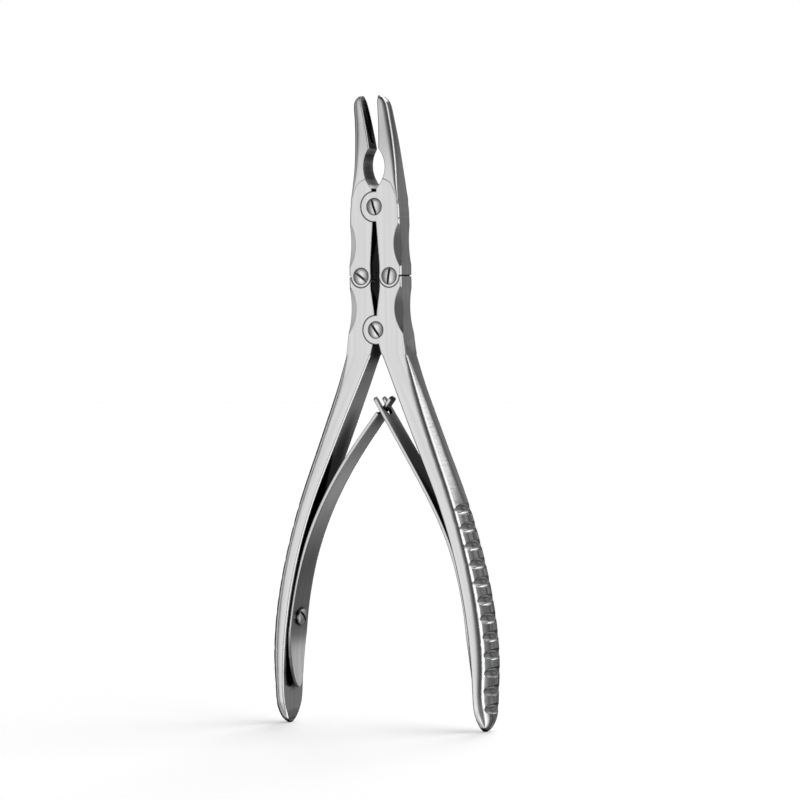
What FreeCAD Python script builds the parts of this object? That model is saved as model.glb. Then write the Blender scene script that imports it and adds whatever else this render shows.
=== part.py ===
import FreeCAD, Part
import math
import os

# Double-action bone rongeur, in millimetres.
# X points right, Y points away from the viewer, Z points from the handle ends to the jaw tips.
# The origin is the bottom centre of the whole instrument, with the handles open at rest.

# Linkage. The two jaws turn about the jaw pivot, the two handles about the handle pivot.
# Each jaw joins the handle of its own side at a link pivot.
HANDLE_PIVOT_HEIGHT = 119.5
HANDLE_ARM = 16.85            # handle pivot to link pivot
JAW_ARM = 21.4                # jaw pivot to link pivot
LINK_HALF_SPACING = 4.8       # link pivots to mid-plane at rest
JAW_OPEN_ANGLE = 4.9          # each jaw, from closed to rest, degrees

# Half-lap joints
PLATE_THICKNESS = 7.0
LAP_GAP = 0.1
DISC_CLEARANCE = 0.15
JAW_DISC_RADIUS = 4.5
HANDLE_DISC_RADIUS = 4.3
LINK_DISC_RADIUS = 3.35
SHOULDER_GAP = 0.4            # opening stop between jaw and handle, at the outer side
EDGE_CHAMFER = 0.4

# Half widths of the plates, from the mid-plane
WIDTH_AT_JAW_PIVOT = 8.4
WIDTH_AT_LINK = 8.9
WIDTH_AT_HANDLE_PIVOT = 9.3
SLOT_AT_JAW_PIVOT = 0.5
SLOT_AT_LINK = 1.55
SLOT_AT_HANDLE_PIVOT = 0.45
CROTCH_HALF_WIDTH = 1.0
JAW_NOTCH_HALF_WIDTH = 0.75
SLOT_TAPER = 1.0              # the slots widen this far from the edge of a disc
GROUND_FLAT_RADIUS = 8.9      # edge of the ground faces, about the jaw pivot
GROUND_FLAT_TOP_WIDTH = 6.6   # half width where that edge meets the outer side
PLATE_SIDE_BULGE = 0.5        # of the outer side beside the jaw pivot

# Scallops that thin the outer corners of the plates
SCALLOP_SLOPE = 29.0
SCALLOP_INSET = 2.5
JAW_SCALLOP_LENGTH = 15.0
JAW_SCALLOP_DROP = 11.3       # below the jaw pivot
HANDLE_SCALLOP_LENGTH = 14.4
HANDLE_SCALLOP_RISE = 6.4     # above the handle pivot

# Pivot screws
HEAD_RADIUS = 2.45
HEAD_RIM = 0.9                # straight part of the head, sunk in the plate
DOME_HEIGHT = 0.5
HEAD_CLEARANCE = 0.08
SHANK_RADIUS = 1.6
THREAD_RADIUS = 1.3
RUNNING_CLEARANCE = 0.05
DRIVER_SLOT_WIDTH = 0.6
DRIVER_SLOT_DEPTH = 0.75
JAW_PIVOT_SLOT_TURN = 17.0    # slot angles from vertical, seen from the front
LEFT_LINK_SLOT_TURN = 53.0
RIGHT_LINK_SLOT_TURN = -9.0
HANDLE_PIVOT_SLOT_TURN = 35.0

# Jaws above the jaw pivot, as they are when closed
BITE_CLEARANCE = 0.04         # each bite face to the mid-plane
BLADE_START = -3.0            # heights above the jaw pivot
BEND_START = 7.0
BEND_RADIUS = 78.0
EYE_BOTTOM = 5.2
EYE_MIDDLE = 10.9
EYE_HALF_WIDTH = 2.6
HEEL_HEIGHT = 17.7
TIP_HEIGHT = 33.5
BLADE_ROOT_WIDTH = 8.7
BLADE_TIP_WIDTH = 3.0
BLADE_TIP_ROUNDING = 3.2
# Sections of a blade, at shares of the way from its start to its tip
BLADE_STATIONS = [
    # share, half depth, flat share of the width, crest share of the half depth
    (0.0, 3.45, 0.97, 0.06),
    (0.14, 3.45, 0.955, 0.09),
    (0.20, 3.45, 0.91, 0.18),
    (0.26, 3.43, 0.84, 0.32),
    (0.31, 3.36, 0.79, 0.40),
    (0.38, 3.12, 0.74, 0.50),
    (0.49, 2.88, 0.66, 0.60),
    (0.60, 2.74, 0.56, 0.68),
    (0.71, 2.58, 0.46, 0.77),
    (0.82, 2.42, 0.38, 0.86),
    (0.91, 2.26, 0.32, 0.92),
]
BLADE_TIP_STEPS = [2.2, 1.4, 0.8, 0.35]
CUP_RADIUS = 1.7
CUP_RIM = 1.1                 # cup end to tip, and to heel

# Handles below the handle pivot
HANDLE_LEAN = 23.8            # straight upper part of the inner face
BEND_DROP = 45.0              # handle pivot to the start of the inner bend
BEND_END_DROP = 110.0
HEAD_DROP = 7.5               # handle pivot to the foot of the flat plate
HANDLE_ROOT_INSIDE = 1.9      # inner face to mid-plane, at the foot of the plate
HANDLE_TIP_ROUNDING = 10.0
CREST_ROUNDING = 6.5
END_FLAT = 0.12               # the rounded ends stop this short of a point
END_SHIFT = 0.25              # share of the thickness that the inner face gives up at the end
HANDLE_END_STEPS = [6.5, 4.2, 2.4, 1.2, 0.5, 0]
# Sections of a handle, at shares of the way from the foot of its plate to its end
HANDLE_STATIONS = [
    # share, thickness (across X), half depth (along Y), flat width, crest share of the half depth
    (0.0, 8.5, 3.5, 7.7, 0.25),
    (0.058, 8.1, 3.85, 5.8, 0.55),
    (0.129, 7.65, 4.4, 4.6, 0.75),
    (0.219, 7.2, 4.95, 3.9, 0.86),
    (0.326, 6.7, 5.4, 3.3, 0.92),
    (0.433, 6.2, 5.75, 2.9, 0.94),
    (0.540, 5.95, 6.0, 2.6, 0.95),
    (0.647, 5.95, 6.2, 2.3, 0.96),
    (0.754, 5.8, 6.3, 1.9, 0.96),
    (0.835, 5.35, 6.3, 1.5, 0.96),
    (0.902, 4.7, 6.15, 1.2, 0.96),
]
SECTION_CORNER_SHARE = 0.12   # broken corners, of a section's smaller side

# Grip notches across the outer crest
NOTCH_COUNT = 12
NOTCH_FIRST_HEIGHT = 7.0
NOTCH_PITCH = 5.4
NOTCH_RADIUS = 1.9
NOTCH_DEPTH = 0.9
NOTCH_SWEEP_RADIUS = 24.0     # the notches follow the round crest

# Leaf springs
LEAF_ROOT_THICKNESS = 1.1
LEAF_TIP_THICKNESS = 0.8
LEAF_SCREW_HEIGHT = 32.6
LEAF_SEAT_GAP = 0.05
LEAF_TAIL_HEIGHT = 10.6
LEAF_ROOT_HALF_WIDTH = 5.0
LEAF_TIP_HALF_WIDTH = 3.5
LEAF_CROSSING_ROOM = 9.05     # inner faces to mid-plane at the height of the crossing
LEAF_CROSSING_OFFSET = 1.2    # the springs cross a little right of the mid-plane
LEAF_LEAVE_SHARE = 0.34       # where a leaf parts from its handle, from screw to crossing
LEAF_LEAVE_GAP = 0.55         # its gap to the handle there, and along the tail
LEAF_STRAIGHT_SHARE = 0.3     # straight length below the crossing
LEFT_LEAF_CURL = 6.0          # extra lean at the crossing, degrees
RIGHT_LEAF_CURL = 2.5
LEAF_TAIL_BULGE = (0.42, 0.68)   # shares of tail length and of half width
LEAF_STEPS = 14
TONGUE_HALF_WIDTH = 1.55
TONGUE_LENGTH = 4.6           # past the crossing
TONGUE_NECK_DROP = 1.65       # full width ends this far below the crossing
FORK_SLOT_HALF_WIDTH = 2.0
FORK_LENGTH = 4.2
FORK_ROOT_DEPTH = 2.4         # slot below the crossing
SPRING_HEAD_RADIUS = 2.5
SPRING_HEAD_HEIGHT = 1.5
SPRING_SCREW_DEPTH = 4.0
SPRING_SLOT_TURN = 45.0

LOFT_DEGREE = 3

FRONT = -1
BACK = 1
LEFT = -1
RIGHT = 1

# Worked out from the sizes above
half_thickness = PLATE_THICKNESS / 2
link_height = HANDLE_PIVOT_HEIGHT + math.sqrt(HANDLE_ARM ** 2 - LINK_HALF_SPACING ** 2)
jaw_pivot_height = link_height + math.sqrt(JAW_ARM ** 2 - LINK_HALF_SPACING ** 2)
lean = math.radians(HANDLE_LEAN)
bend_radius = (BEND_END_DROP - BEND_DROP) / math.sin(lean)
crossing_height = HANDLE_PIVOT_HEIGHT - HEAD_DROP - (LEAF_CROSSING_ROOM - HANDLE_ROOT_INSIDE) / math.tan(lean)


def point(x, y, z):
    return FreeCAD.Vector(x, y, z)


def extrude_outline(edges, depth=PLATE_THICKNESS):
    """A solid from edges drawn in the XZ plane, as thick as depth and centred on Y zero."""
    face = Part.Face(Part.Wire(edges))
    solid = face.extrude(point(0, depth, 0))
    solid.translate(point(0, -depth / 2, 0))
    return solid


def line(a, b):
    return Part.LineSegment(point(a[0], 0, a[1]), point(b[0], 0, b[1])).toShape()


def arc(a, middle, b):
    return Part.Arc(point(a[0], 0, a[1]), point(middle[0], 0, middle[1]), point(b[0], 0, b[1])).toShape()


def spline(points):
    curve = Part.BSplineCurve()
    curve.interpolate(points)
    return curve.toShape()


def disc(x, z, radius, side):
    """A round plate in one layer of the lap, about an axis along Y."""
    start = LAP_GAP / 2 if side == BACK else -half_thickness
    height = half_thickness - LAP_GAP / 2
    return Part.makeCylinder(radius, height, point(x, start, z), point(0, 1, 0))


def recess(x, z, radius, side):
    """Room for the other piece's disc, open to the face and to the lap gap."""
    start = -LAP_GAP / 2 if side == BACK else -PLATE_THICKNESS
    height = PLATE_THICKNESS + LAP_GAP / 2
    return Part.makeCylinder(radius + DISC_CLEARANCE, height, point(x, start, z), point(0, 1, 0))


def lap(body, x, z, radius, side):
    """Gives a plate its half of a lap joint: a disc in its own layer, a recess in the other."""
    return body.cut(recess(x, z, radius, -side)).fuse(disc(x, z, radius, side))


def screw_hole(x, z):
    """The bored seat of a pivot screw, drilled through both halves of a lap."""
    axis = point(0, 1, 0)
    face = point(x, -half_thickness, z)
    seat = Part.makeCylinder(HEAD_RADIUS + HEAD_CLEARANCE, HEAD_RIM, face, axis)
    bore = Part.makeCylinder(SHANK_RADIUS + RUNNING_CLEARANCE, half_thickness, face, axis)
    thread = Part.makeCylinder(THREAD_RADIUS + RUNNING_CLEARANCE, PLATE_THICKNESS, face, axis)
    return seat.fuse([bore, thread])


def domed_head(radius, rim, dome):
    """A slotted head standing on Z zero, its dome pointing to +Z."""
    sphere_radius = (radius ** 2 + dome ** 2) / (2 * dome)
    sphere = Part.makeSphere(sphere_radius, point(0, 0, rim + dome - sphere_radius))
    head = Part.makeCylinder(radius, rim + dome).common(sphere)
    slot = Part.makeBox(DRIVER_SLOT_WIDTH, 2 * radius, DRIVER_SLOT_DEPTH)
    slot.translate(point(-DRIVER_SLOT_WIDTH / 2, -radius, rim + dome - DRIVER_SLOT_DEPTH))
    return head.cut(slot)


def pivot_screw(x, z, slot_turn):
    """A screw whose dome stands proud of the front face and whose end is flush with the back."""
    head = domed_head(HEAD_RADIUS, HEAD_RIM - RUNNING_CLEARANCE, DOME_HEIGHT)
    shank_length = half_thickness - HEAD_RIM - LAP_GAP / 2
    shank = Part.makeCylinder(SHANK_RADIUS, shank_length, point(0, 0, -shank_length))
    thread_length = PLATE_THICKNESS - HEAD_RIM + RUNNING_CLEARANCE
    thread = Part.makeCylinder(THREAD_RADIUS, thread_length, point(0, 0, -thread_length))
    screw = head.fuse([shank, thread]).removeSplitter()
    screw.rotate(point(0, 0, 0), point(0, 0, 1), slot_turn)
    screw.rotate(point(0, 0, 0), point(1, 0, 0), 90)
    screw.translate(point(x, -half_thickness + HEAD_RIM - RUNNING_CLEARANCE, z))
    return screw


def scallop(corner_x, z, length):
    """The pair of round cutters that thin the front and back outer corners of a plate."""
    slope = math.radians(SCALLOP_SLOPE)
    depth = SCALLOP_INSET * math.sin(slope)
    radius = (length ** 2 / 4 + depth ** 2) / (2 * depth)
    cutters = []
    for face in (FRONT, BACK):
        along = point(math.cos(slope), -face * math.sin(slope), 0)
        outward = point(math.sin(slope), face * math.cos(slope), 0)
        foot = point(corner_x - SCALLOP_INSET, face * half_thickness, z)
        start = foot + outward * radius - along * (length / 2)
        cutters.append(Part.makeCylinder(radius, 2 * length, start, along))
    return cutters


def inner_face(drop):
    """Half spacing of the handles' inner faces, at a drop below the handle pivot."""
    straight_end = HANDLE_ROOT_INSIDE + (BEND_DROP - HEAD_DROP) * math.tan(lean)
    if drop < BEND_DROP:
        return straight_end - (BEND_DROP - drop) * math.tan(lean)
    reach = min(1.0, (BEND_END_DROP - min(drop, BEND_END_DROP)) / bend_radius)
    whole = math.cos(lean)
    return straight_end + bend_radius * (math.sqrt(1 - reach ** 2) - whole)


def inner_lean(drop):
    """Lean of the inner face from vertical, in radians."""
    if drop < BEND_DROP:
        return lean
    return math.asin(max(0.0, (BEND_END_DROP - drop) / bend_radius))


def between(stations, share):
    """The sizes at a share of the way along a table of stations, by straight interpolation."""
    for low, high in zip(stations, stations[1:]):
        if share <= high[0]:
            part = max(0.0, (share - low[0]) / (high[0] - low[0]))
            return tuple(a + part * (b - a) for a, b in zip(low[1:], high[1:]))
    return stations[-1][1:]


def handle_station(drop):
    """Sizes of the handle's section at a drop below the handle pivot."""
    return between(HANDLE_STATIONS, (drop - HEAD_DROP) / (HANDLE_PIVOT_HEIGHT - HEAD_DROP))


def straight(a, b):
    return Part.LineSegment(a, b).toShape()


def quarter_ellipse(a, corner, b):
    """A quarter of an ellipse from a to b, whose tangents there meet at the corner."""
    curve = Part.BSplineCurve()
    curve.buildFromPolesMultsKnots([a, corner, b], [3, 3], [0, 1], False, 2, [1, math.sqrt(0.5), 1])
    return curve.toShape()


def lever_section(z, inner, outer, flat, middle_y, half_depth, crest_share):
    """A D-shaped horizontal section: flat inner face, flats at front and back, round outer crest."""
    corner = min(EDGE_CHAMFER, SECTION_CORNER_SHARE * (outer - inner), SECTION_CORNER_SHARE * half_depth)
    front = middle_y - half_depth
    back = middle_y + half_depth
    crest = half_depth * crest_share
    start = min(inner + max(flat, 2 * corner), outer - corner)
    inner_front = point(inner, front + corner, z)
    flat_front = point(inner + corner, front, z)
    inner_back = point(inner, back - corner, z)
    flat_back = point(inner + corner, back, z)
    crest_front = point(outer, front + crest, z)
    crest_back = point(outer, back - crest, z)
    turn_front = point(start, front, z)
    turn_back = point(start, back, z)
    return Part.Wire([
        straight(inner_back, inner_front), straight(inner_front, flat_front),
        straight(flat_front, turn_front), quarter_ellipse(turn_front, point(outer, front, z), crest_front),
        straight(crest_front, crest_back), quarter_ellipse(crest_back, point(outer, back, z), turn_back),
        straight(turn_back, flat_back), straight(flat_back, inner_back)])


def round_off(distance, length):
    """Share of the full size left at a distance from a rounded end."""
    if distance >= length:
        return 1.0
    return math.sqrt(1 - (1 - distance / length) ** 2)


def handle_lever():
    """The right handle below its flat plate, with its rounded end and grip notches."""
    length = HANDLE_PIVOT_HEIGHT - HEAD_DROP
    drops = [HEAD_DROP + station[0] * length for station in HANDLE_STATIONS]
    drops += [HANDLE_PIVOT_HEIGHT - step for step in HANDLE_END_STEPS]
    sections = []
    for drop in drops:
        thickness, half_depth, flat, crest_share = handle_station(drop)
        height = HANDLE_PIVOT_HEIGHT - drop
        slim = round_off(max(height, END_FLAT), CREST_ROUNDING)
        narrow = round_off(max(height, END_FLAT), HANDLE_TIP_ROUNDING)
        inner = inner_face(drop) + END_SHIFT * thickness * (1 - slim)
        sections.append(lever_section(height, inner, inner + thickness * slim, flat * slim, 0,
                                      half_depth * narrow, crest_share))
    lever = Part.makeLoft(sections, True, False, False, LOFT_DEGREE)
    for i in range(NOTCH_COUNT):
        lever = lever.cut(grip_notch(NOTCH_FIRST_HEIGHT + i * NOTCH_PITCH))
    return lever


def grip_notch(height):
    """The cutter of one notch: a ring about an upright axis inside the handle."""
    drop = HANDLE_PIVOT_HEIGHT - height
    crest = inner_face(drop) + handle_station(drop)[0]
    tube_centre = crest - NOTCH_DEPTH + NOTCH_RADIUS
    centre = point(tube_centre - NOTCH_SWEEP_RADIUS, 0, height)
    return Part.makeTorus(NOTCH_SWEEP_RADIUS, NOTCH_RADIUS, centre, point(0, 0, 1))


def handle_plate():
    """The flat head of the right handle, from the foot of the plate to the shoulder at the link."""
    pivot = HANDLE_PIVOT_HEIGHT
    top = link_height - SHOULDER_GAP / 2
    bottom = pivot - HEAD_DROP
    taper_start = pivot + HANDLE_DISC_RADIUS + SLOT_TAPER
    inner = [(HANDLE_ROOT_INSIDE, bottom), (CROTCH_HALF_WIDTH, pivot - HANDLE_DISC_RADIUS),
             (SLOT_AT_HANDLE_PIVOT, pivot), (SLOT_AT_HANDLE_PIVOT, taper_start),
             (SLOT_AT_LINK, top - LINK_DISC_RADIUS), (SLOT_AT_LINK, top)]
    root_thickness = HANDLE_STATIONS[0][1]
    outer = [(WIDTH_AT_LINK, top), (WIDTH_AT_LINK, top - LINK_DISC_RADIUS),
             (WIDTH_AT_HANDLE_PIVOT, pivot), (HANDLE_ROOT_INSIDE + root_thickness, bottom)]
    edges = [line(a, b) for a, b in zip(inner, inner[1:])]
    edges.append(line(inner[-1], outer[0]))
    edges.append(line(outer[0], outer[1]))
    edges.append(spline([point(x, 0, z) for x, z in outer[1:]]))
    edges.append(line(outer[-1], inner[0]))
    return extrude_outline(edges)


def jaw_plate():
    """The flat lower part of the right jaw, up to the round edge of the ground faces."""
    pivot = jaw_pivot_height
    bottom = link_height + SHOULDER_GAP / 2
    taper_start = pivot - JAW_DISC_RADIUS + SLOT_TAPER
    notch_start = pivot + JAW_DISC_RADIUS - SLOT_TAPER
    radius = GROUND_FLAT_RADIUS
    inner_top = (JAW_NOTCH_HALF_WIDTH, pivot + math.sqrt(radius ** 2 - JAW_NOTCH_HALF_WIDTH ** 2))
    outer_top = (GROUND_FLAT_TOP_WIDTH, pivot + math.sqrt(radius ** 2 - GROUND_FLAT_TOP_WIDTH ** 2))
    diagonal = radius * math.sqrt(0.5)
    inner = [(SLOT_AT_LINK, bottom), (SLOT_AT_LINK, bottom + LINK_DISC_RADIUS),
             (SLOT_AT_JAW_PIVOT, taper_start), (SLOT_AT_JAW_PIVOT, pivot),
             (JAW_NOTCH_HALF_WIDTH, notch_start), inner_top]
    widest = (WIDTH_AT_JAW_PIVOT, pivot + BLADE_START)
    side_middle = ((outer_top[0] + widest[0]) / 2 + PLATE_SIDE_BULGE, (outer_top[1] + widest[1]) / 2)
    outer = [widest, (WIDTH_AT_LINK, bottom + LINK_DISC_RADIUS), (WIDTH_AT_LINK, bottom)]
    edges = [line(a, b) for a, b in zip(inner, inner[1:])]
    edges.append(arc(inner_top, (diagonal, pivot + diagonal), outer_top))
    edges.append(arc(outer_top, side_middle, widest))
    edges += [line(a, b) for a, b in zip(outer, outer[1:])]
    edges.append(line(outer[-1], inner[0]))
    return extrude_outline(edges)


def jaw_blade():
    """The right jaw above its pivot: closed pose, curving to the front, with its cup."""
    length = TIP_HEIGHT - BLADE_START
    shares = [station[0] for station in BLADE_STATIONS]
    shares += [1 - step / length for step in BLADE_TIP_STEPS + [END_FLAT]]
    sections = []
    for share in shares:
        half_depth, flat_share, crest_share = between(BLADE_STATIONS, share)
        rise = BLADE_START + share * length
        slim = round_off(TIP_HEIGHT - rise, BLADE_TIP_ROUNDING)
        width = slim * (BLADE_ROOT_WIDTH + share * (BLADE_TIP_WIDTH - BLADE_ROOT_WIDTH))
        sections.append(lever_section(jaw_pivot_height + rise, BITE_CLEARANCE, BITE_CLEARANCE + width,
                                      flat_share * width, bent_forward(rise), half_depth * slim, crest_share))
    blade = Part.makeLoft(sections, True, False, False, LOFT_DEGREE)
    return opened(blade.cut(cup()))


def bent_forward(rise):
    """How far the middle of a blade lies to the front (-Y), at a rise above the jaw pivot."""
    return -max(0.0, rise - BEND_START) ** 2 / (2 * BEND_RADIUS)


def opened(shape):
    """Turns a shape of the right jaw from its closed pose to the rest pose."""
    shape.rotate(point(0, 0, jaw_pivot_height), point(0, 1, 0), JAW_OPEN_ANGLE)
    return shape


def jaw_eye():
    """The cutter of the right jaw's half of the eye, with the notch below it."""
    heel = (0, jaw_pivot_height + HEEL_HEIGHT)
    middle = (EYE_HALF_WIDTH, jaw_pivot_height + EYE_MIDDLE)
    bottom = (0, jaw_pivot_height + EYE_BOTTOM)
    reach = 2 * PLATE_THICKNESS   # well past the left side of the blade
    bottom_left = (-reach, bottom[1])
    heel_left = (-reach, heel[1])
    eye = extrude_outline([arc(heel, middle, bottom), line(bottom, bottom_left),
                           line(bottom_left, heel_left), line(heel_left, heel)], 2 * reach)
    notch = Part.makeBox(reach, 2 * reach, EYE_MIDDLE)
    notch.translate(point(JAW_NOTCH_HALF_WIDTH - reach, -reach, jaw_pivot_height + JAW_DISC_RADIUS / 2))
    return opened(eye).fuse(notch)


def cup():
    """The hollow of a bite face: a spindle along the jaw, centred on the bite plane."""
    low = HEEL_HEIGHT + CUP_RIM
    high = TIP_HEIGHT - CUP_RIM
    middle = (low + high) / 2
    bend = middle - BEND_START
    half_length = (high - low) / 2
    ellipse = Part.Ellipse(point(0, 0, 0), half_length, CUP_RADIUS)
    half = ellipse.toShape(0, math.pi)
    axis = Part.LineSegment(point(-half_length, 0, 0), point(half_length, 0, 0)).toShape()
    spindle = Part.Face(Part.Wire([half, axis])).revolve(point(0, 0, 0), point(1, 0, 0), 360)
    spindle.rotate(point(0, 0, 0), point(0, 1, 0), -90)
    spindle.rotate(point(0, 0, 0), point(1, 0, 0), math.degrees(math.atan(bend / BEND_RADIUS)))
    spindle.translate(point(0, bent_forward(middle), jaw_pivot_height + middle))
    return spindle


def chamfer_outside(plate, inside):
    """Breaks the long edges of a plate's front and back faces that lie outside a half width."""
    outside = []
    for edge in plate.Edges:
        centre = edge.CenterOfMass
        on_face = abs(abs(centre.y) - half_thickness) < DISC_CLEARANCE
        if on_face and centre.x > inside and edge.Length > 2 * EDGE_CHAMFER:
            outside.append(edge)
    return plate.makeChamfer(EDGE_CHAMFER, outside)


def mirrored(shape):
    return shape.mirror(point(0, 0, 0), point(1, 0, 0))


def make_jaw(side):
    pivot_layer = FRONT if side == RIGHT else BACK
    jaw = chamfer_outside(jaw_plate(), WIDTH_AT_JAW_PIVOT)
    jaw = jaw.cut(scallop(WIDTH_AT_LINK, jaw_pivot_height - JAW_SCALLOP_DROP, JAW_SCALLOP_LENGTH))
    jaw = jaw.fuse(jaw_blade()).cut(jaw_eye())
    if side == LEFT:
        jaw = mirrored(jaw)
    jaw = lap(jaw, 0, jaw_pivot_height, JAW_DISC_RADIUS, pivot_layer)
    jaw = lap(jaw, side * LINK_HALF_SPACING, link_height, LINK_DISC_RADIUS, FRONT)
    link_hole = screw_hole(side * LINK_HALF_SPACING, link_height)
    return jaw.cut([screw_hole(0, jaw_pivot_height), link_hole]).removeSplitter()


def make_handle(side):
    pivot_layer = FRONT if side == RIGHT else BACK
    handle = chamfer_outside(handle_plate(), WIDTH_AT_LINK - EDGE_CHAMFER)
    scallop_height = HANDLE_PIVOT_HEIGHT + HANDLE_SCALLOP_RISE
    handle = handle.cut(scallop(WIDTH_AT_LINK, scallop_height, HANDLE_SCALLOP_LENGTH))
    handle = handle.fuse(handle_lever()).cut(leaf_screw_hole())
    if side == LEFT:
        handle = mirrored(handle)
    handle = lap(handle, 0, HANDLE_PIVOT_HEIGHT, HANDLE_DISC_RADIUS, pivot_layer)
    handle = lap(handle, side * LINK_HALF_SPACING, link_height, LINK_DISC_RADIUS, BACK)
    link_hole = screw_hole(side * LINK_HALF_SPACING, link_height)
    return handle.cut([screw_hole(0, HANDLE_PIVOT_HEIGHT), link_hole]).removeSplitter()


def seat_frame():
    """The spot on the right handle's inner face that carries the leaf screw, and its normal."""
    drop = HANDLE_PIVOT_HEIGHT - LEAF_SCREW_HEIGHT
    tilt = inner_lean(drop)
    seat = point(inner_face(drop), 0, LEAF_SCREW_HEIGHT)
    return seat, point(-math.cos(tilt), 0, -math.sin(tilt)), tilt


def leaf_screw_hole():
    """The bore of a leaf screw, through the leaf and into the handle."""
    seat, normal, _ = seat_frame()
    reach = 3 * LEAF_ROOT_THICKNESS
    return Part.makeCylinder(THREAD_RADIUS + RUNNING_CLEARANCE, SPRING_SCREW_DEPTH + reach,
                             seat + normal * reach, -normal)


def leaf_screw(side):
    """The domed screw that clamps a leaf spring on the inner face of its handle."""
    seat, normal, tilt = seat_frame()
    head = domed_head(SPRING_HEAD_RADIUS, SPRING_HEAD_HEIGHT / 2, SPRING_HEAD_HEIGHT / 2)
    length = SPRING_SCREW_DEPTH + LEAF_SEAT_GAP + LEAF_ROOT_THICKNESS
    shank = Part.makeCylinder(THREAD_RADIUS, length, point(0, 0, -length))
    screw = head.fuse(shank).removeSplitter()
    screw.rotate(point(0, 0, 0), point(0, 0, 1), SPRING_SLOT_TURN)
    screw.rotate(point(0, 0, 0), point(0, 1, 0), -90 - math.degrees(tilt))
    screw.translate(seat + normal * (2 * LEAF_SEAT_GAP + LEAF_ROOT_THICKNESS))
    if side == LEFT:
        screw = mirrored(screw)
    return screw


def beside_handle(height):
    """Centre of a leaf that lies a little off the inner face of the right handle."""
    gap = LEAF_LEAVE_GAP + LEAF_ROOT_THICKNESS / 2
    return point(inner_face(HANDLE_PIVOT_HEIGHT - height) - gap, 0, height)


def leaf_points(side):
    """Centre line of a leaf from tail to tip, drawn on the right side."""
    seat, normal, _ = seat_frame()
    root = seat + normal * (LEAF_SEAT_GAP + LEAF_ROOT_THICKNESS / 2)
    crossing = point(side * LEAF_CROSSING_OFFSET, 0, crossing_height)
    span = crossing.z - root.z
    leave = beside_handle(root.z + LEAF_LEAVE_SHARE * span)
    curl = RIGHT_LEAF_CURL if side == RIGHT else LEFT_LEAF_CURL
    tip_lean = math.atan((leave.x - crossing.x) / (crossing.z - leave.z)) + math.radians(curl)
    along = point(-math.sin(tip_lean), 0, math.cos(tip_lean))
    past = FORK_LENGTH if side == RIGHT else TONGUE_LENGTH
    return [beside_handle(LEAF_TAIL_HEIGHT), root, leave,
            crossing - along * (LEAF_STRAIGHT_SHARE * span), crossing, crossing + along * past]


def make_leaf(side):
    """A leaf spring: a bowed strip, tapered in width and thickness, with a fork or a tongue."""
    points = leaf_points(side)
    curve = Part.BSplineCurve()
    curve.interpolate(points)
    near_face = []
    far_face = []
    for step in range(LEAF_STEPS + 1):
        share = step / LEAF_STEPS
        parameter = curve.parameterAtDistance(share * curve.length(), curve.FirstParameter)
        along = curve.tangent(parameter)[0]
        thickness = LEAF_ROOT_THICKNESS + share * (LEAF_TIP_THICKNESS - LEAF_ROOT_THICKNESS)
        across = point(-along.z, 0, along.x) * (thickness / 2)
        near_face.append(curve.value(parameter) + across)
        far_face.append(curve.value(parameter) - across)
    edges = [spline(near_face), straight(near_face[-1], far_face[-1]),
             spline(far_face), straight(far_face[0], near_face[0])]
    strip = extrude_outline(edges, 3 * LEAF_ROOT_HALF_WIDTH)
    strip = strip.common(leaf_sheet(side, points[-1].z)).cut(leaf_screw_hole())
    return mirrored(strip) if side == LEFT else strip


def leaf_sheet(side, tip_height):
    """A leaf seen from the side: pointed tail, slow taper, and a fork or a tongue at the tip."""
    shoulder = LEAF_SCREW_HEIGHT - 2 * SPRING_HEAD_RADIUS
    end = tip_height + LEAF_TIP_THICKNESS
    neck = crossing_height - TONGUE_NECK_DROP
    half = [(LEAF_ROOT_HALF_WIDTH, shoulder), (LEAF_TIP_HALF_WIDTH, end)]
    if side == LEFT:
        half = [(LEAF_ROOT_HALF_WIDTH, shoulder), (LEAF_TIP_HALF_WIDTH, neck),
                (TONGUE_HALF_WIDTH, neck), (TONGUE_HALF_WIDTH, end)]
    path = [point(0, y, z) for y, z in half] + [point(0, -y, z) for y, z in reversed(half)]
    tail = point(0, 0, LEAF_TAIL_HEIGHT)
    along_share, width_share = LEAF_TAIL_BULGE
    bulge_height = LEAF_TAIL_HEIGHT + along_share * (shoulder - LEAF_TAIL_HEIGHT)
    bulge = width_share * LEAF_ROOT_HALF_WIDTH
    edges = [spline([tail, point(0, bulge, bulge_height), path[0]])]
    edges += [straight(a, b) for a, b in zip(path, path[1:])]
    edges.append(spline([path[-1], point(0, -bulge, bulge_height), tail]))
    reach = HANDLE_PIVOT_HEIGHT
    sheet = Part.Face(Part.Wire(edges)).extrude(point(2 * reach, 0, 0))
    sheet.translate(point(-reach, 0, 0))
    if side == LEFT:
        return sheet
    floor = crossing_height - FORK_ROOT_DEPTH + FORK_SLOT_HALF_WIDTH
    slot = Part.makeBox(2 * reach, 2 * FORK_SLOT_HALF_WIDTH, reach)
    slot.translate(point(-reach, -FORK_SLOT_HALF_WIDTH, floor))
    root = Part.makeCylinder(FORK_SLOT_HALF_WIDTH, 2 * reach, point(-reach, 0, floor), point(1, 0, 0))
    return sheet.cut([slot, root])


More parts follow.
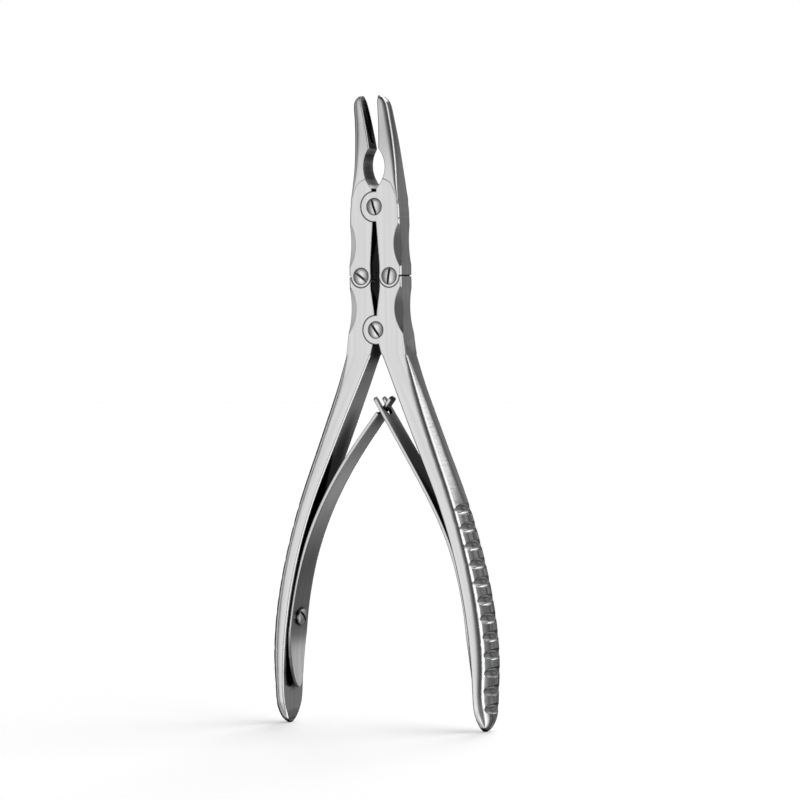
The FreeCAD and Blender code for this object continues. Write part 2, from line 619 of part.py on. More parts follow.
def build():
    return {
        "left_jaw": make_jaw(LEFT),
        "right_jaw": make_jaw(RIGHT),
        "left_handle": make_handle(LEFT),
        "right_handle": make_handle(RIGHT),
        "jaw_pivot_screw": pivot_screw(0, jaw_pivot_height, JAW_PIVOT_SLOT_TURN),
        "left_link_screw": pivot_screw(-LINK_HALF_SPACING, link_height, LEFT_LINK_SLOT_TURN),
        "right_link_screw": pivot_screw(LINK_HALF_SPACING, link_height, RIGHT_LINK_SLOT_TURN),
        "handle_pivot_screw": pivot_screw(0, HANDLE_PIVOT_HEIGHT, HANDLE_PIVOT_SLOT_TURN),
        "left_leaf_spring": make_leaf(LEFT),
        "right_leaf_spring": make_leaf(RIGHT),
        "left_spring_screw": leaf_screw(LEFT),
        "right_spring_screw": leaf_screw(RIGHT),
    }


os.makedirs("parts", exist_ok=True)
for name, shape in build().items():
    shape.exportStep("parts/" + name + ".step")
    box = shape.BoundBox
    print(name, "solids", len(shape.Solids), "valid", shape.isValid(), "volume", round(shape.Volume, 1),
          "x", round(box.XMin, 2), round(box.XMax, 2), "y", round(box.YMin, 2), round(box.YMax, 2),
          "z", round(box.ZMin, 2), round(box.ZMax, 2))
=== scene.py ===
import math

import bmesh
import bpy
from mathutils import Euler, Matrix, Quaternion, Vector


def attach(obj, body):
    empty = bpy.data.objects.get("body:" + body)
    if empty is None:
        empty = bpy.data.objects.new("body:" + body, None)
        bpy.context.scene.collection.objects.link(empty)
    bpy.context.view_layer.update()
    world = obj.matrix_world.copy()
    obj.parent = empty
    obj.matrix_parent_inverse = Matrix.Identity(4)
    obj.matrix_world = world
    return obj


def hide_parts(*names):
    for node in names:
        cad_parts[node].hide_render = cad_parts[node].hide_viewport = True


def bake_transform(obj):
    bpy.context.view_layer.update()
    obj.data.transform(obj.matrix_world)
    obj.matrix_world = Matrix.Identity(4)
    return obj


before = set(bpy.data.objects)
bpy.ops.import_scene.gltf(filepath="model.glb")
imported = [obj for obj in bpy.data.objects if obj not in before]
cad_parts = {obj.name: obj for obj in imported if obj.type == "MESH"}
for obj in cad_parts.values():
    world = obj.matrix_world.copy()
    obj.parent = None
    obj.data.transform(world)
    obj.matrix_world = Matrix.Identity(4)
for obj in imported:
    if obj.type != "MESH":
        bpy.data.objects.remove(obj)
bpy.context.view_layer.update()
scene = bpy.context.scene
scene.view_settings.view_transform = "Standard"

# Camera
# The instrument stands on its handle ends and is seen from its right front, from a metre away.
# The camera is level with the screw of the lower joint, and leans by less than a degree.
VIEW_AZIMUTH = math.radians(28.5)
VIEW_LEAN = math.radians(0.75)
VIEW_DISTANCE = 1.040
VIEW_HEIGHT = 0.1199
VIEW_SHIFT = (0.0235, -0.0894)
SENSOR_WIDTH = 36.0
WIDTH_SEEN = 0.2408

lens = bpy.data.cameras.new("photo_camera")
lens.sensor_width = SENSOR_WIDTH
lens.lens = SENSOR_WIDTH * VIEW_DISTANCE / WIDTH_SEEN
lens.shift_x, lens.shift_y = VIEW_SHIFT
lens.clip_end = 20
camera = bpy.data.objects.new("photo_camera", lens)
scene.collection.objects.link(camera)
camera.location = (math.sin(VIEW_AZIMUTH) * VIEW_DISTANCE, -math.cos(VIEW_AZIMUTH) * VIEW_DISTANCE, VIEW_HEIGHT)
upright = Euler((math.radians(90), 0, VIEW_AZIMUTH), "XYZ").to_quaternion()
camera.rotation_mode = "QUATERNION"
camera.rotation_quaternion = upright @ Quaternion((0, 0, 1), -VIEW_LEAN)
scene.camera = camera

# Room
# A tent of white cloth, seen as plain white. What lights the steel is brightest at the left front,
# has a narrow dark opening at the right front with a bright edge beside it, and is grey behind,
# where the cloth hangs in soft folds.

# (degrees from the front towards the right, level near the floor, at eye height, overhead)
ROOM = [
    (-180, 0.04, 0.12, 4.00), (-165, 0.03, 0.06, 5.00), (-150, 0.05, 0.02, 0.50), (-122, 0.05, 0.02, 0.20),
    (-104, 0.08, 0.08, 0.30), (-93, 0.30, 0.34, 0.40), (-82, 0.70, 0.75, 0.40), (-68, 0.22, 0.18, 0.30),
    (-53, 0.60, 0.36, 0.25), (-30, 1.20, 1.02, 0.16), (-14, 1.00, 0.92, 0.10), (-2, 0.60, 0.62, 0.06),
    (10, 0.30, 0.34, 0.04), (24, 0.24, 0.15, 0.04), (40, 0.20, 0.07, 0.04), (51, 0.24, 0.09, 0.06),
    (58, 0.70, 0.70, 0.30), (64, 1.50, 1.70, 0.80), (75, 1.40, 1.50, 1.20), (83, 1.20, 0.26, 1.80),
    (112, 0.10, 0.16, 2.40), (148, 0.08, 0.17, 1.80), (162, 0.26, 0.19, 0.40), (173, 0.28, 0.20, 0.20),
    (180, 0.04, 0.12, 4.00),
]
LOW_FROM, LOW_TO = -0.08, -0.55
OVERHEAD_FROM, OVERHEAD_TO = 0.34, 0.70
FOLD_SCALE = 5.0
FOLD_SPREAD = (0.35, 0.65)
FOLD_DEPTH = 0.65
BEHIND_FROM, BEHIND_TO = 0.2, 0.7
WHITE = (1, 1, 1, 1)


def put(tree, kind, feeds=None, **settings):
    """Add a node. Each of its inputs takes a plain value, or the output that feeds it."""
    node = tree.nodes.new(kind)
    for key, value in settings.items():
        setattr(node, key, value)
    for key, feed in (feeds or {}).items():
        if isinstance(feed, bpy.types.NodeSocket):
            tree.links.new(feed, node.inputs[key])
        else:
            node.inputs[key].default_value = feed
    return node


world = bpy.data.worlds.new("tent")
scene.world = world
world.use_nodes = True
tree = world.node_tree
tree.nodes.clear()
direction = put(tree, "ShaderNodeTexCoord").outputs["Generated"]
split = put(tree, "ShaderNodeSeparateXYZ", {0: direction})
forward = put(tree, "ShaderNodeMath", {0: split.outputs["Y"], 1: -1}, operation="MULTIPLY")
azimuth = put(tree, "ShaderNodeMath", {0: split.outputs["X"], 1: forward.outputs[0]}, operation="ARCTAN2")
turn = put(tree, "ShaderNodeMapRange", {"Value": azimuth.outputs[0], "From Min": -math.pi, "From Max": math.pi})
levels = []
for column in (1, 2, 3):
    ramp = put(tree, "ShaderNodeValToRGB", {"Fac": turn.outputs[0]})
    stops = ramp.color_ramp.elements
    stops.remove(stops[0])
    for row, values in enumerate(ROOM):
        place = (values[0] + 180) / 360
        stop = stops[0] if row == 0 else stops.new(place)
        stop.position = place
        stop.color = (values[column],) * 3 + (1,)
    levels.append(ramp.outputs["Color"])
low, level, overhead = levels
for other, start, end in ((low, LOW_FROM, LOW_TO), (overhead, OVERHEAD_FROM, OVERHEAD_TO)):
    height = put(tree, "ShaderNodeMapRange", {"Value": split.outputs["Z"], "From Min": start, "From Max": end},
                 interpolation_type="SMOOTHSTEP")
    level = put(tree, "ShaderNodeMix", {"Factor": height.outputs[0], "A": level, "B": other},
                data_type="RGBA").outputs["Result"]
folds = put(tree, "ShaderNodeTexNoise", {"Vector": direction, "Scale": FOLD_SCALE, "Detail": 1})
depth = put(tree, "ShaderNodeMapRange", {
    "Value": folds.outputs["Fac"], "From Min": FOLD_SPREAD[0], "From Max": FOLD_SPREAD[1],
    "To Min": -FOLD_DEPTH, "To Max": FOLD_DEPTH})
behind = put(tree, "ShaderNodeMapRange", {
    "Value": split.outputs["Y"], "From Min": BEHIND_FROM, "From Max": BEHIND_TO}, interpolation_type="SMOOTHSTEP")
amount = put(tree, "ShaderNodeMath", {0: depth.outputs[0], 1: behind.outputs[0], 2: 1}, operation="MULTIPLY_ADD")
cloth = put(tree, "ShaderNodeBackground", {"Color": level, "Strength": amount.outputs[0]})
white = put(tree, "ShaderNodeBackground", {"Color": WHITE})
ray = put(tree, "ShaderNodeLightPath")
seen = put(tree, "ShaderNodeMixShader", {
    "Fac": ray.outputs["Is Camera Ray"], 1: cloth.outputs[0], 2: white.outputs[0]})
put(tree, "ShaderNodeOutputWorld", {"Surface": seen.outputs[0]})

# Floor
# A sheet of white paper under the handle ends, matt and uncoated. To the camera it glows by just
# enough to be plain white where no shadow falls on it.
PAPER_COLOUR = (0.93, 0.93, 0.93, 1)
PAPER_GLOW = 0.28
PAPER_REACH = 4

paper = bpy.data.materials.new("paper")
paper.use_nodes = True
tree = paper.node_tree
tree.nodes.clear()
matt = put(tree, "ShaderNodeBsdfDiffuse", {"Color": PAPER_COLOUR})
glow = put(tree, "ShaderNodeEmission", {"Strength": PAPER_GLOW})
dark = put(tree, "ShaderNodeEmission", {"Strength": 0})
ray = put(tree, "ShaderNodeLightPath")
pick = put(tree, "ShaderNodeMixShader", {"Fac": ray.outputs["Is Camera Ray"], 1: dark.outputs[0], 2: glow.outputs[0]})
both = put(tree, "ShaderNodeAddShader", {0: matt.outputs[0], 1: pick.outputs[0]})
put(tree, "ShaderNodeOutputMaterial", {"Surface": both.outputs[0]})

sheet = bpy.data.meshes.new("floor")
sheet.from_pydata([(x * PAPER_REACH, y * PAPER_REACH, 0) for x, y in ((-1, -1), (1, -1), (1, 1), (-1, 1))],
                  [], [(0, 1, 2, 3)])
floor = bpy.data.objects.new("floor", sheet)
scene.collection.objects.link(floor)
floor.data.materials.append(paper)
floor.visible_glossy = False

# Jaws and handles
# Four forgings of stainless steel, ground flat on the front and back, then polished round on
# the sides. The grinding left fine lines along each part. Shade is painted into slots, laps and hollows.

# (height, distance from the mid-plane) of the handles' inner face, from the end up to the joint
HANDLE_BEND = [(0.0, 0.0322), (0.02, 0.0318), (0.04, 0.0292), (0.06, 0.0240), (0.0745, 0.0184), (0.112, 0.0019)]
LINE_SCALE = (1500, 1500, 22)
FINE_LINES, BROAD_LINES = 2.2, 0.42
LINE_SPREAD = (0.3, 0.7)
LINE_SHADES = (0.90, 1.03)
CLOUD_SCALE = 55.0
SCRATCH_SLANT = math.radians(28)
SCRATCH_SCALE = (900, 900, 45)
SCRATCH_FROM, SCRATCH_TO = 0.70, 0.78
SCRATCH_DEPTH = 0.5
MARK_ROUGHNESS = 0.05
GROUND_FROM, GROUND_TO = 0.955, 0.99
# Painted shade in slots and laps, where steel is close to steel
SLOT_SHADE = {"Shut": 0.40, "Open": 0.82, "Darkest": 0.02}
HOLLOW_SHADE = {"Reach": 0.008, "Shut": 0.55, "Open": 0.94, "Darkest": 0.03}
ABOVE_PAPER_FROM, ABOVE_PAPER_TO = 0.014, 0.003
EDGE_LINE_REACH = 6.0e-4
EDGE_LINE_SHADE = 0.42
EDGE_LINE_FROM, EDGE_LINE_TO = 0.88, 0.99
FORGED = {
    "colour": (0.80, 0.80, 0.81), "satin": 0.22, "polish": 0.07,
    "line_scale": LINE_SCALE, "line_depth": 2.0e-6, "edge_radius": 3.5e-4, "slot_shade_reach": 1.6e-3,
}
CUP_FROM, CUP_TO = 0.162, 0.180
CUP_SHADE = 0.72
JOIN_REACH = 2.0e-6
SHARP_ANGLE = math.radians(24)
FLAT_FACING = 0.99995
POINT_HEIGHT = 0.012
POINT_NARROWING = 0.30

FLOAT, VECTOR, COLOUR = "NodeSocketFloat", "NodeSocketVector", "NodeSocketColor"


def new_group(name, inputs, outputs):
    """A shader node group with its named inputs and outputs, and the nodes that hold them."""
    group = bpy.data.node_groups.new(name, "ShaderNodeTree")
    for label, kind, value in inputs:
        socket = group.interface.new_socket(label, in_out="INPUT", socket_type=kind)
        if value is not None:
            socket.default_value = value
    for label, kind in outputs:
        group.interface.new_socket(label, in_out="OUTPUT", socket_type=kind)
    return group, group.nodes.new("NodeGroupInput").outputs, group.nodes.new("NodeGroupOutput").inputs


# Grinding lines follow the lean and bend of the handles, so x is counted from their inner face
grinding_lines, given, result = new_group(
    "grinding_lines", [("Position", VECTOR, None), ("Scale", VECTOR, LINE_SCALE)],
    [("Height", FLOAT), ("Tone", FLOAT), ("Shade", FLOAT)])
top_height, widest = HANDLE_BEND[-1][0], HANDLE_BEND[0][1]
split = put(grinding_lines, "ShaderNodeSeparateXYZ", {0: given["Position"]})
side = put(grinding_lines, "ShaderNodeMath", {0: split.outputs["X"]}, operation="ABSOLUTE")
rise = put(grinding_lines, "ShaderNodeMapRange", {"Value": split.outputs["Z"], "From Max": top_height})
bend = put(grinding_lines, "ShaderNodeFloatCurve", {"Value": rise.outputs[0]})
curve = bend.mapping.curves[0]
for row, (z, x) in enumerate(HANDLE_BEND):
    place = (z / top_height, x / widest)
    if row in (0, len(HANDLE_BEND) - 1):
        curve.points[0 if row == 0 else -1].location = place
    else:
        curve.points.new(*place)
bend.mapping.update()
offset = put(grinding_lines, "ShaderNodeMath", {0: bend.outputs[0], 1: widest}, operation="MULTIPLY")
beside = put(grinding_lines, "ShaderNodeMath", {0: side.outputs[0], 1: offset.outputs[0]}, operation="SUBTRACT")
joined = put(grinding_lines, "ShaderNodeCombineXYZ",
             {"X": beside.outputs[0], "Y": split.outputs["Y"], "Z": split.outputs["Z"]})
drawn_out = put(grinding_lines, "ShaderNodeVectorMath", {0: joined.outputs[0], 1: given["Scale"]},
                operation="MULTIPLY").outputs[0]
fine = put(grinding_lines, "ShaderNodeTexNoise", {"Vector": drawn_out, "Scale": FINE_LINES, "Detail": 3})
broad = put(grinding_lines, "ShaderNodeTexNoise", {"Vector": drawn_out, "Scale": BROAD_LINES, "Detail": 2})
shade = put(grinding_lines, "ShaderNodeMapRange", {
    "Value": broad.outputs["Fac"], "From Min": LINE_SPREAD[0], "From Max": LINE_SPREAD[1],
    "To Min": LINE_SHADES[0], "To Max": LINE_SHADES[1]})
grinding_lines.links.new(fine.outputs["Fac"], result["Height"])
grinding_lines.links.new(broad.outputs["Fac"], result["Tone"])
grinding_lines.links.new(shade.outputs[0], result["Shade"])

# Handling marks: faint clouds left by wiping, and a few hairline scratches
handling_marks, given, result = new_group(
    "handling_marks", [("Position", VECTOR, None), ("Cloud Scale", FLOAT, CLOUD_SCALE)],
    [("Clouds", FLOAT), ("Scratches", FLOAT)])
clouds = put(handling_marks, "ShaderNodeTexNoise",
             {"Vector": given["Position"], "Scale": given["Cloud Scale"], "Detail": 4})
slant = put(handling_marks, "ShaderNodeMapping",
            {"Vector": given["Position"], "Rotation": (0, SCRATCH_SLANT, 0), "Scale": SCRATCH_SCALE})
hair = put(handling_marks, "ShaderNodeTexNoise", {"Vector": slant.outputs[0], "Scale": 1.0, "Detail": 1})
rare = put(handling_marks, "ShaderNodeMapRange",
           {"Value": hair.outputs["Fac"], "From Min": SCRATCH_FROM, "From Max": SCRATCH_TO})
handling_marks.links.new(clouds.outputs["Fac"], result["Clouds"])
handling_marks.links.new(rare.outputs[0], result["Scratches"])

# Ground faces: how far the surface faces straight to the front or back
ground_faces, given, result = new_group(
    "ground_faces", [("Normal", VECTOR, None), ("From", FLOAT, GROUND_FROM), ("To", FLOAT, GROUND_TO)],
    [("Share", FLOAT)])
facing = put(ground_faces, "ShaderNodeSeparateXYZ", {0: given["Normal"]})
depth = put(ground_faces, "ShaderNodeMath", {0: facing.outputs["Y"]}, operation="ABSOLUTE")
share = put(ground_faces, "ShaderNodeMapRange",
            {"Value": depth.outputs[0], "From Min": given["From"], "From Max": given["To"]},
            interpolation_type="SMOOTHSTEP")
ground_faces.links.new(share.outputs[0], result["Share"])

# Height share: from 0 at one height to 1 at another
height_share, given, result = new_group(
    "height_share", [("Position", VECTOR, None), ("From", FLOAT, 0.0), ("To", FLOAT, 1.0)], [("Share", FLOAT)])
split = put(height_share, "ShaderNodeSeparateXYZ", {0: given["Position"]})
share = put(height_share, "ShaderNodeMapRange",
            {"Value": split.outputs["Z"], "From Min": given["From"], "From Max": given["To"]},
            interpolation_type="SMOOTHSTEP")
height_share.links.new(share.outputs[0], result["Share"])

# Shut in shade: painted shade, the level that is left where the steel is close to other steel, within a
# reach. A short reach gives the painted shade in slots and laps, and a longer one the painted shade of hollows.
shut_in_shade, given, result = new_group(
    "shut_in_shade", [("Reach", FLOAT, 0.001), ("Shut", FLOAT, 0.0), ("Open", FLOAT, 1.0), ("Darkest", FLOAT, 0.0)],
    [("Level", FLOAT)])
around = put(shut_in_shade, "ShaderNodeAmbientOcclusion", {"Distance": given["Reach"]}, samples=8)
level = put(shut_in_shade, "ShaderNodeMapRange", {
    "Value": around.outputs["AO"], "From Min": given["Shut"], "From Max": given["Open"], "To Min": given["Darkest"]})
shut_in_shade.links.new(level.outputs[0], result["Level"])

# Edge line: painted shade, the darker line that a blunted edge shows between two faces
painted_edge_line, given, result = new_group(
    "painted_edge_line", [("Reach", FLOAT, EDGE_LINE_REACH), ("Darkest", FLOAT, EDGE_LINE_SHADE)], [("Level", FLOAT)])
blunted = put(painted_edge_line, "ShaderNodeBevel", {"Radius": given["Reach"]}, samples=8)
surface = put(painted_edge_line, "ShaderNodeNewGeometry")
agreement = put(painted_edge_line, "ShaderNodeVectorMath", {0: blunted.outputs[0], 1: surface.outputs["True Normal"]},
                operation="DOT_PRODUCT")
level = put(painted_edge_line, "ShaderNodeMapRange", {
    "Value": agreement.outputs["Value"], "From Min": EDGE_LINE_FROM, "From Max": EDGE_LINE_TO,
    "To Min": given["Darkest"]}, interpolation_type="SMOOTHSTEP")
painted_edge_line.links.new(level.outputs[0], result["Level"])

# Finish: satin where the steel was ground and polish elsewhere, both less even under the marks
finish, given, result = new_group(
    "finish", [("Ground", FLOAT, 0.0), ("Polish", FLOAT, FORGED["polish"]), ("Satin", FLOAT, FORGED["satin"]),
               ("Clouds", FLOAT, 0.0), ("Tone", FLOAT, 0.0)], [("Roughness", FLOAT)])
rough = put(finish, "ShaderNodeMapRange",
            {"Value": given["Ground"], "To Min": given["Polish"], "To Max": given["Satin"]}).outputs[0]
for mark in ("Clouds", "Tone"):
    rough = put(finish, "ShaderNodeMath", {0: given[mark], 1: MARK_ROUGHNESS, 2: rough},
                operation="MULTIPLY_ADD").outputs[0]
finish.links.new(rough, result["Roughness"])

# Relief: broken edges, with the grinding lines and the scratches on top
relief, given, result = new_group(
    "relief", [("Lines", FLOAT, 0.0), ("Scratches", FLOAT, 0.0), ("Depth", FLOAT, FORGED["line_depth"]),
               ("Edge Radius", FLOAT, FORGED["edge_radius"])], [("Normal", VECTOR)])
broken = put(relief, "ShaderNodeBevel", {"Radius": given["Edge Radius"]}, samples=4)
height = put(relief, "ShaderNodeMath", {0: given["Scratches"], 1: -SCRATCH_DEPTH, 2: given["Lines"]},
             operation="MULTIPLY_ADD")
bump = put(relief, "ShaderNodeBump", {
    "Strength": 1, "Distance": given["Depth"], "Height": height.outputs[0], "Normal": broken.outputs[0]})
relief.links.new(bump.outputs[0], result["Normal"])

# Toned: a colour scaled by a value that follows a share
toned, given, result = new_group(
    "toned", [("Colour", COLOUR, None), ("Share", FLOAT, 1.0), ("At None", FLOAT, 1.0), ("At Full", FLOAT, 1.0)],
    [("Colour", COLOUR)])
value = put(toned, "ShaderNodeMapRange",
            {"Value": given["Share"], "To Min": given["At None"], "To Max": given["At Full"]})
scaled = put(toned, "ShaderNodeVectorMath", {0: given["Colour"], "Scale": value.outputs[0]}, operation="SCALE")
toned.links.new(scaled.outputs[0], result["Colour"])


def steel(name, colour, satin, polish, line_scale, line_depth, edge_radius, slot_shade_reach):
    """Stainless steel: satin where it faces front or back, polished elsewhere, with painted shade in corners and
    hollows.
    """
    material = bpy.data.materials.new(name)
    material.use_nodes = True
    tree = material.node_tree
    place = put(tree, "ShaderNodeTexCoord").outputs

    def group(node_group, feeds):
        return put(tree, "ShaderNodeGroup", feeds, node_tree=node_group).outputs

    lines = group(grinding_lines, {"Position": place["Object"], "Scale": line_scale})
    marks = group(handling_marks, {"Position": place["Object"]})
    ground = group(ground_faces, {"Normal": place["Normal"]})["Share"]
    # Painted shade in slots and laps, within a short reach, and in hollows, within a longer one
    slot_shade = group(shut_in_shade, {"Reach": slot_shade_reach, **SLOT_SHADE})["Level"]
    hollow_shade = group(shut_in_shade, HOLLOW_SHADE)["Level"]
    near_paper = group(height_share, {"Position": place["Object"], "From": ABOVE_PAPER_FROM, "To": ABOVE_PAPER_TO})
    # The painted shade of hollows is cleared on the ground faces and near the paper
    for clear in (ground, near_paper["Share"]):
        hollow_shade = put(tree, "ShaderNodeMath", {0: hollow_shade, 1: clear}, operation="MAXIMUM").outputs[0]
    # The colour's level: the grinding lines' tone, times painted shade in slots, in hollows and along edges
    level = lines["Shade"]
    for factor in (slot_shade, hollow_shade, group(painted_edge_line, {})["Level"]):
        level = put(tree, "ShaderNodeMath", {0: level, 1: factor}, operation="MULTIPLY").outputs[0]
    tint = put(tree, "ShaderNodeVectorMath", {0: colour, "Scale": level}, operation="SCALE")
    rough = group(finish, {"Ground": ground, "Polish": polish, "Satin": satin, "Clouds": marks["Clouds"],
                           "Tone": lines["Tone"]})
    normal = group(relief, {"Lines": lines["Height"], "Scratches": marks["Scratches"], "Depth": line_depth,
                            "Edge Radius": edge_radius})
    shader = tree.nodes["Principled BSDF"]
    shader.inputs["Metallic"].default_value = 1
    tree.links.new(tint.outputs[0], shader.inputs["Base Color"])
    tree.links.new(rough["Roughness"], shader.inputs["Roughness"])
    tree.links.new(normal["Normal"], shader.inputs["Normal"])
    return material


def by_height(material, start, end):
    """The share of the way from one height to another, for one material."""
    tree = material.node_tree
    place = put(tree, "ShaderNodeTexCoord")
    return put(tree, "ShaderNodeGroup", {"Position": place.outputs["Object"], "From": start, "To": end},
               node_tree=height_share).outputs["Share"]


def tone_colour(material, share, at_none, at_full):
    """Scale a steel's colour by a value that follows a share."""
    base = material.node_tree.nodes["Principled BSDF"].inputs["Base Color"]
    shaded = put(material.node_tree, "ShaderNodeGroup", {
        "Colour": base.links[0].from_socket, "Share": share, "At None": at_none, "At Full": at_full}, node_tree=toned)
    material.node_tree.links.new(shaded.outputs["Colour"], base)


forged_steel = steel("forged_steel", **FORGED)
cupped_steel = steel("cupped_steel", **FORGED)
# Above the height of the cups the jaws' colour is painted darker: painted shade in the cups
tone_colour(cupped_steel, by_height(cupped_steel, CUP_FROM, CUP_TO), 1.0, CUP_SHADE)
for name in ("left_jaw", "right_jaw"):
    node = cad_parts[name]
    node.data.materials.clear()
    node.data.materials.append(cupped_steel)

# The handles are joined copies of their nodes, so that the long rounded sides shade smoothly. An
# edge stays sharp where it is one, and round the flat faces of the laps. Each end is drawn in a
# little, to the point that the polishing gave it.
for name in ("left_handle", "right_handle"):
    mesh = bmesh.new()
    mesh.from_mesh(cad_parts[name].data)
    bmesh.ops.remove_doubles(mesh, verts=mesh.verts, dist=JOIN_REACH)
    for vert in mesh.verts:
        if vert.co.z < POINT_HEIGHT:
            vert.co.y *= 1 - POINT_NARROWING * (1 - vert.co.z / POINT_HEIGHT) ** 2
    mesh.normal_update()
    for face in mesh.faces:
        face.smooth = True
    for edge in mesh.edges:
        if len(edge.link_faces) != 2:
            continue
        first, second = (face.normal for face in edge.link_faces)
        on_flat = (abs(first.y) > FLAT_FACING) != (abs(second.y) > FLAT_FACING)
        edge.smooth = not on_flat and first.angle(second, 0) < SHARP_ANGLE
    blank = bpy.data.meshes.new(name + "_forging")
    mesh.to_mesh(blank)
    mesh.free()
    forging = bpy.data.objects.new(name + "_forging", blank)
    scene.collection.objects.link(forging)
    even = forging.modifiers.new("even normals", "WEIGHTED_NORMAL")
    even.weight = 100
    even.keep_sharp = True
    bpy.context.view_layer.update()
    made = bpy.data.meshes.new_from_object(forging.evaluated_get(bpy.context.evaluated_depsgraph_get()))
    forging.modifiers.clear()
    forging.data = made
    made.materials.clear()
    made.materials.append(forged_steel)
    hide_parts(name)
    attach(forging, name)

# Screws
# Six slotted screws with polished domed heads, turned from bar stainless steel. Four go through
# the joints from the front, and two hold the leaves from inside the handles. Shade is painted into
# the slots, and the domes of the joint screws are painted dark at the rim and bright at the crown.
TURNED = {"line_scale": (700, 700, 700), "line_depth": 1.0e-6, "edge_radius": 1.0e-4, "slot_shade_reach": 9.0e-4}
CROWN_FROM, CROWN_TO = 0.86, 0.99
RIM_SHADE, CROWN_HIGHLIGHT = 0.12, 1.15

turned_steel = steel("turned_steel", (0.74, 0.74, 0.75), 0.14, 0.14, **TURNED)
# Painted light on the joint screws' domes: a painted highlight where they face front or back, painted shade towards
# the rim
tree = turned_steel.node_tree
crown = put(tree, "ShaderNodeGroup", {
    "Normal": put(tree, "ShaderNodeTexCoord").outputs["Normal"], "From": CROWN_FROM, "To": CROWN_TO},
    node_tree=ground_faces)
tone_colour(turned_steel, crown.outputs["Share"], RIM_SHADE, CROWN_HIGHLIGHT)
side_turned_steel = steel("side_turned_steel", (0.90, 0.90, 0.91), 0.34, 0.34, **TURNED)
for name in ("jaw_pivot_screw", "left_link_screw", "right_link_screw", "handle_pivot_screw",
             "left_spring_screw", "right_spring_screw"):
    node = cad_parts[name]
    node.data.materials.clear()
    node.data.materials.append(side_turned_steel if "spring" in name else turned_steel)

# Leaf springs
# Two leaves of spring steel, ground on both faces, with broken edges. Each is clamped to its handle
# by a screw, and passes the other near its tip: the left one's tongue through the right one's fork.

# (height, distance of the middle of the leaf from the mid-plane), in millimetres
LEAF_LINES = {
    "left": [(10.8, 30.40), (14, 30.70), (20, 30.88), (26, 30.6), (32.6, 29.87), (38, 29.0), (44, 27.73),
             (50, 26.1), (56, 24.03), (62, 21.5), (68, 18.49), (74, 15.0), (80, 11.02), (86, 6.57),
             (90, 3.41), (93, 1.02), (95.8, -1.21), (98, -2.93), (99.3, -3.95)],
    "right": [(10.8, 31.04), (14, 31.09), (20, 30.98), (26, 30.59), (32.6, 29.87), (38, 29.03), (44, 27.78),
              (50, 26.14), (56, 23.99), (62, 21.32), (68, 18.18), (74, 14.71), (80, 11.04), (86, 7.32),
              (90, 4.82), (93, 2.94), (95.8, 1.19), (98, -0.18), (99.2, -0.93)],
}
LEAF_THICKNESS = 1.02
LEAF_EDGE = 0.30
# (height, half width) of the outline, and of the fork's slot
LEAF_SIDE = [(10.8, 0.25), (11.2, 1.0), (12.5, 1.95), (15, 2.9), (17.1, 3.4), (20, 3.98), (23.5, 4.5),
             (27.6, 5.0), (93.9, 3.56)]
TONGUE = [(94.5, 3.5), (94.6, 1.62), (95.0, 1.55), (98.5, 1.5), (98.9, 1.35), (99.15, 1.0), (99.3, 0.5)]
FORK = [(95, 3.53), (98.4, 3.45), (98.8, 3.32), (99.05, 3.1), (99.2, 2.85)]
SLOT = [(93.8, 0.0), (93.9, 0.76), (94.1, 1.27), (94.5, 1.73), (95.0, 1.95), (95.5, 2.0), (98.4, 2.0),
        (98.8, 2.13), (99.05, 2.35), (99.2, 2.6)]
NO_SLOT = [(0, 0.0)]
LEAF_ROWS = 90
LEAF_COLUMNS = 6
LEAF_JOIN_REACH = 1.0e-6
LEAF_EDGE_ANGLE = math.radians(50)
LEAF_SHARP_ANGLE = math.radians(40)
MILLIMETRES = 1000
TAIL_FROM, TAIL_TO = 0.031, 0.020
TAIL_ROUGHNESS = 0.75
TAIL_HIGHLIGHT = 1.3


def along(table, z):
    """The value of a table at a height, by straight interpolation."""
    if z <= table[0][0]:
        return table[0][1]
    for (z0, v0), (z1, v1) in zip(table, table[1:]):
        if z <= z1:
            return v0 + (v1 - v0) * (z - z0) / (z1 - z0)
    return table[-1][1]


def smooth_along(table, z):
    """The value of a table at a height, on a smooth curve through its rows."""
    last = len(table) - 2
    i = next((i for i in range(last + 1) if z <= table[i + 1][0]), last)
    (z0, v0), (z1, v1) = table[i], table[i + 1]

    def slope(j):
        a, b = max(j - 1, 0), min(j + 1, len(table) - 1)
        return (table[b][1] - table[a][1]) / (table[b][0] - table[a][0])

    t = (z - z0) / (z1 - z0)
    run = z1 - z0
    return ((2 * t ** 3 - 3 * t ** 2 + 1) * v0 + (t ** 3 - 2 * t ** 2 + t) * run * slope(i)
            + (3 * t ** 2 - 2 * t ** 3) * v1 + (t ** 3 - t ** 2) * run * slope(i + 1))
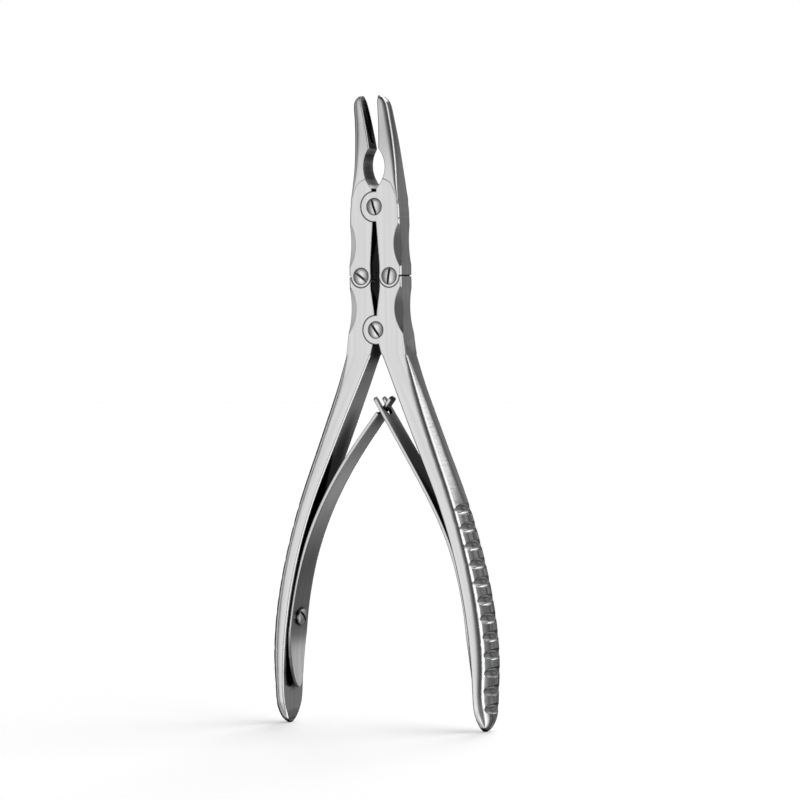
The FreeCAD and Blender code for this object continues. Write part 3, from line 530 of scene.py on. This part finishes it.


# The tail below the screw is duller, and its colour is painted paler as a painted highlight
spring_steel = steel("spring_steel", (0.76, 0.76, 0.76), 0.22, 0.17, LINE_SCALE, 2.5e-6, 1.0e-4, 1.2e-3)
tree = spring_steel.node_tree
tail = by_height(spring_steel, TAIL_FROM, TAIL_TO)
roughness = tree.nodes["Principled BSDF"].inputs["Roughness"]
duller = put(tree, "ShaderNodeMath", {0: tail, 1: TAIL_ROUGHNESS, 2: roughness.links[0].from_socket},
             operation="MULTIPLY_ADD")
tree.links.new(duller.outputs[0], roughness)
tone_colour(spring_steel, tail, 1.0, TAIL_HIGHLIGHT)
for side, sign in (("left", -1), ("right", 1)):
    line = LEAF_LINES[side]
    outline = LEAF_SIDE + (TONGUE if side == "left" else FORK)
    slot = SLOT if side == "right" else NO_SLOT
    bottom, top = line[0][0], line[-1][0]
    rows = sorted({bottom + (top - bottom) * i / LEAF_ROWS for i in range(LEAF_ROWS + 1)}
                  | {z for z, _ in outline + slot if bottom <= z <= top})
    mesh = bmesh.new()
    grid = {}
    for half in (-1, 1):
        for r, z in enumerate(rows):
            x = sign * smooth_along(line, z)
            inner, outer = along(slot, z), along(outline, z)
            for c in range(LEAF_COLUMNS + 1):
                y = half * (inner + (outer - inner) * c / LEAF_COLUMNS)
                grid[half, r, c] = mesh.verts.new((x / MILLIMETRES, y / MILLIMETRES, z / MILLIMETRES))
        for r in range(len(rows) - 1):
            for c in range(LEAF_COLUMNS):
                mesh.faces.new([grid[half, r + up, c + out] for up, out in ((0, 0), (0, 1), (1, 1), (1, 0))])
    bmesh.ops.remove_doubles(mesh, verts=mesh.verts, dist=LEAF_JOIN_REACH)
    bmesh.ops.recalc_face_normals(mesh, faces=mesh.faces)
    blank = bpy.data.meshes.new(side + "_leaf")
    mesh.to_mesh(blank)
    mesh.free()
    leaf = bpy.data.objects.new(side + "_leaf", blank)
    scene.collection.objects.link(leaf)
    thick = leaf.modifiers.new("thickness", "SOLIDIFY")
    thick.thickness = LEAF_THICKNESS / MILLIMETRES
    thick.offset = 0
    round_edges = leaf.modifiers.new("broken edges", "BEVEL")
    round_edges.width = LEAF_EDGE / MILLIMETRES
    round_edges.segments = 3
    round_edges.limit_method = "ANGLE"
    round_edges.angle_limit = LEAF_EDGE_ANGLE
    bpy.context.view_layer.update()
    made = bpy.data.meshes.new_from_object(leaf.evaluated_get(bpy.context.evaluated_depsgraph_get()))
    leaf.modifiers.clear()
    leaf.data = made
    made.name = side + "_leaf"
    made.shade_smooth()
    made.set_sharp_from_angle(angle=LEAF_SHARP_ANGLE)
    made.materials.clear()
    made.materials.append(spring_steel)
    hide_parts(side + "_leaf_spring")
    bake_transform(leaf)
